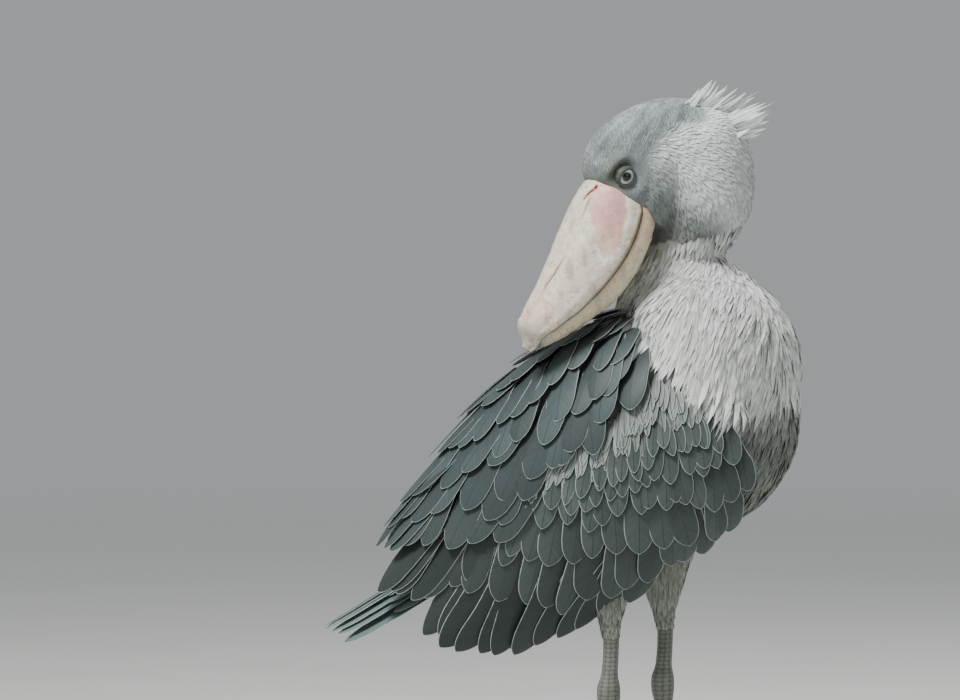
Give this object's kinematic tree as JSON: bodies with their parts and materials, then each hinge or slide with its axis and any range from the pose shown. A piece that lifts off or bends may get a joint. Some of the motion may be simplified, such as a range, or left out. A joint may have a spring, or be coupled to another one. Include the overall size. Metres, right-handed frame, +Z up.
{
  "type": "shoebill",
  "caption": "Life-size standing shoebill, head turned back over its right shoulder, wings folded and drooping, as a still display model.",
  "frame": {"origin": "centre of the model's outline seen from above, on the floor under its feet", "axes": "+Z up, +X the way the breast and toes point, +Y towards the bird's left side"},
  "size_m": [0.596, 0.293, 0.9959],
  "materials": {
    "body_plumage": "soft grey feathers",
    "neck_plumage": "pale grey hanging plumes",
    "head_plumage": "short soft grey feathers",
    "flight_feathers": "slate feathers with thin pale edges",
    "bill": "mottled horn, pinkish to straw, satin",
    "eye": "pale grey-blue iris, glossy",
    "leg_skin": "dark grey scaled skin",
    "claw": "dark horn"
  },
  "bodies": {
    "root": {"bill_lower": "bill", "bill_upper": "bill", "claw_left_hind": "claw", "claw_left_inner": "claw", "claw_left_middle": "claw", "claw_left_outer": "claw", "claw_right_hind": "claw", "claw_right_inner": "claw", "claw_right_middle": "claw", "claw_right_outer": "claw", "eye_left": "eye", "eye_right": "eye", "foot_left": "leg_skin", "foot_right": "leg_skin", "head": "head_plumage", "neck_lower": "neck_plumage", "neck_upper": "neck_plumage", "shin_left": "leg_skin", "shin_right": "leg_skin", "tail": "flight_feathers", "thigh_left": "body_plumage", "thigh_right": "body_plumage", "toe_left_hind": "leg_skin", "toe_left_inner": "leg_skin", "toe_left_middle": "leg_skin", "toe_left_outer": "leg_skin", "toe_right_hind": "leg_skin", "toe_right_inner": "leg_skin", "toe_right_middle": "leg_skin", "toe_right_outer": "leg_skin", "torso": "body_plumage", "wing_left": "flight_feathers", "wing_right": "flight_feathers"}
  },
  "joints": []
}
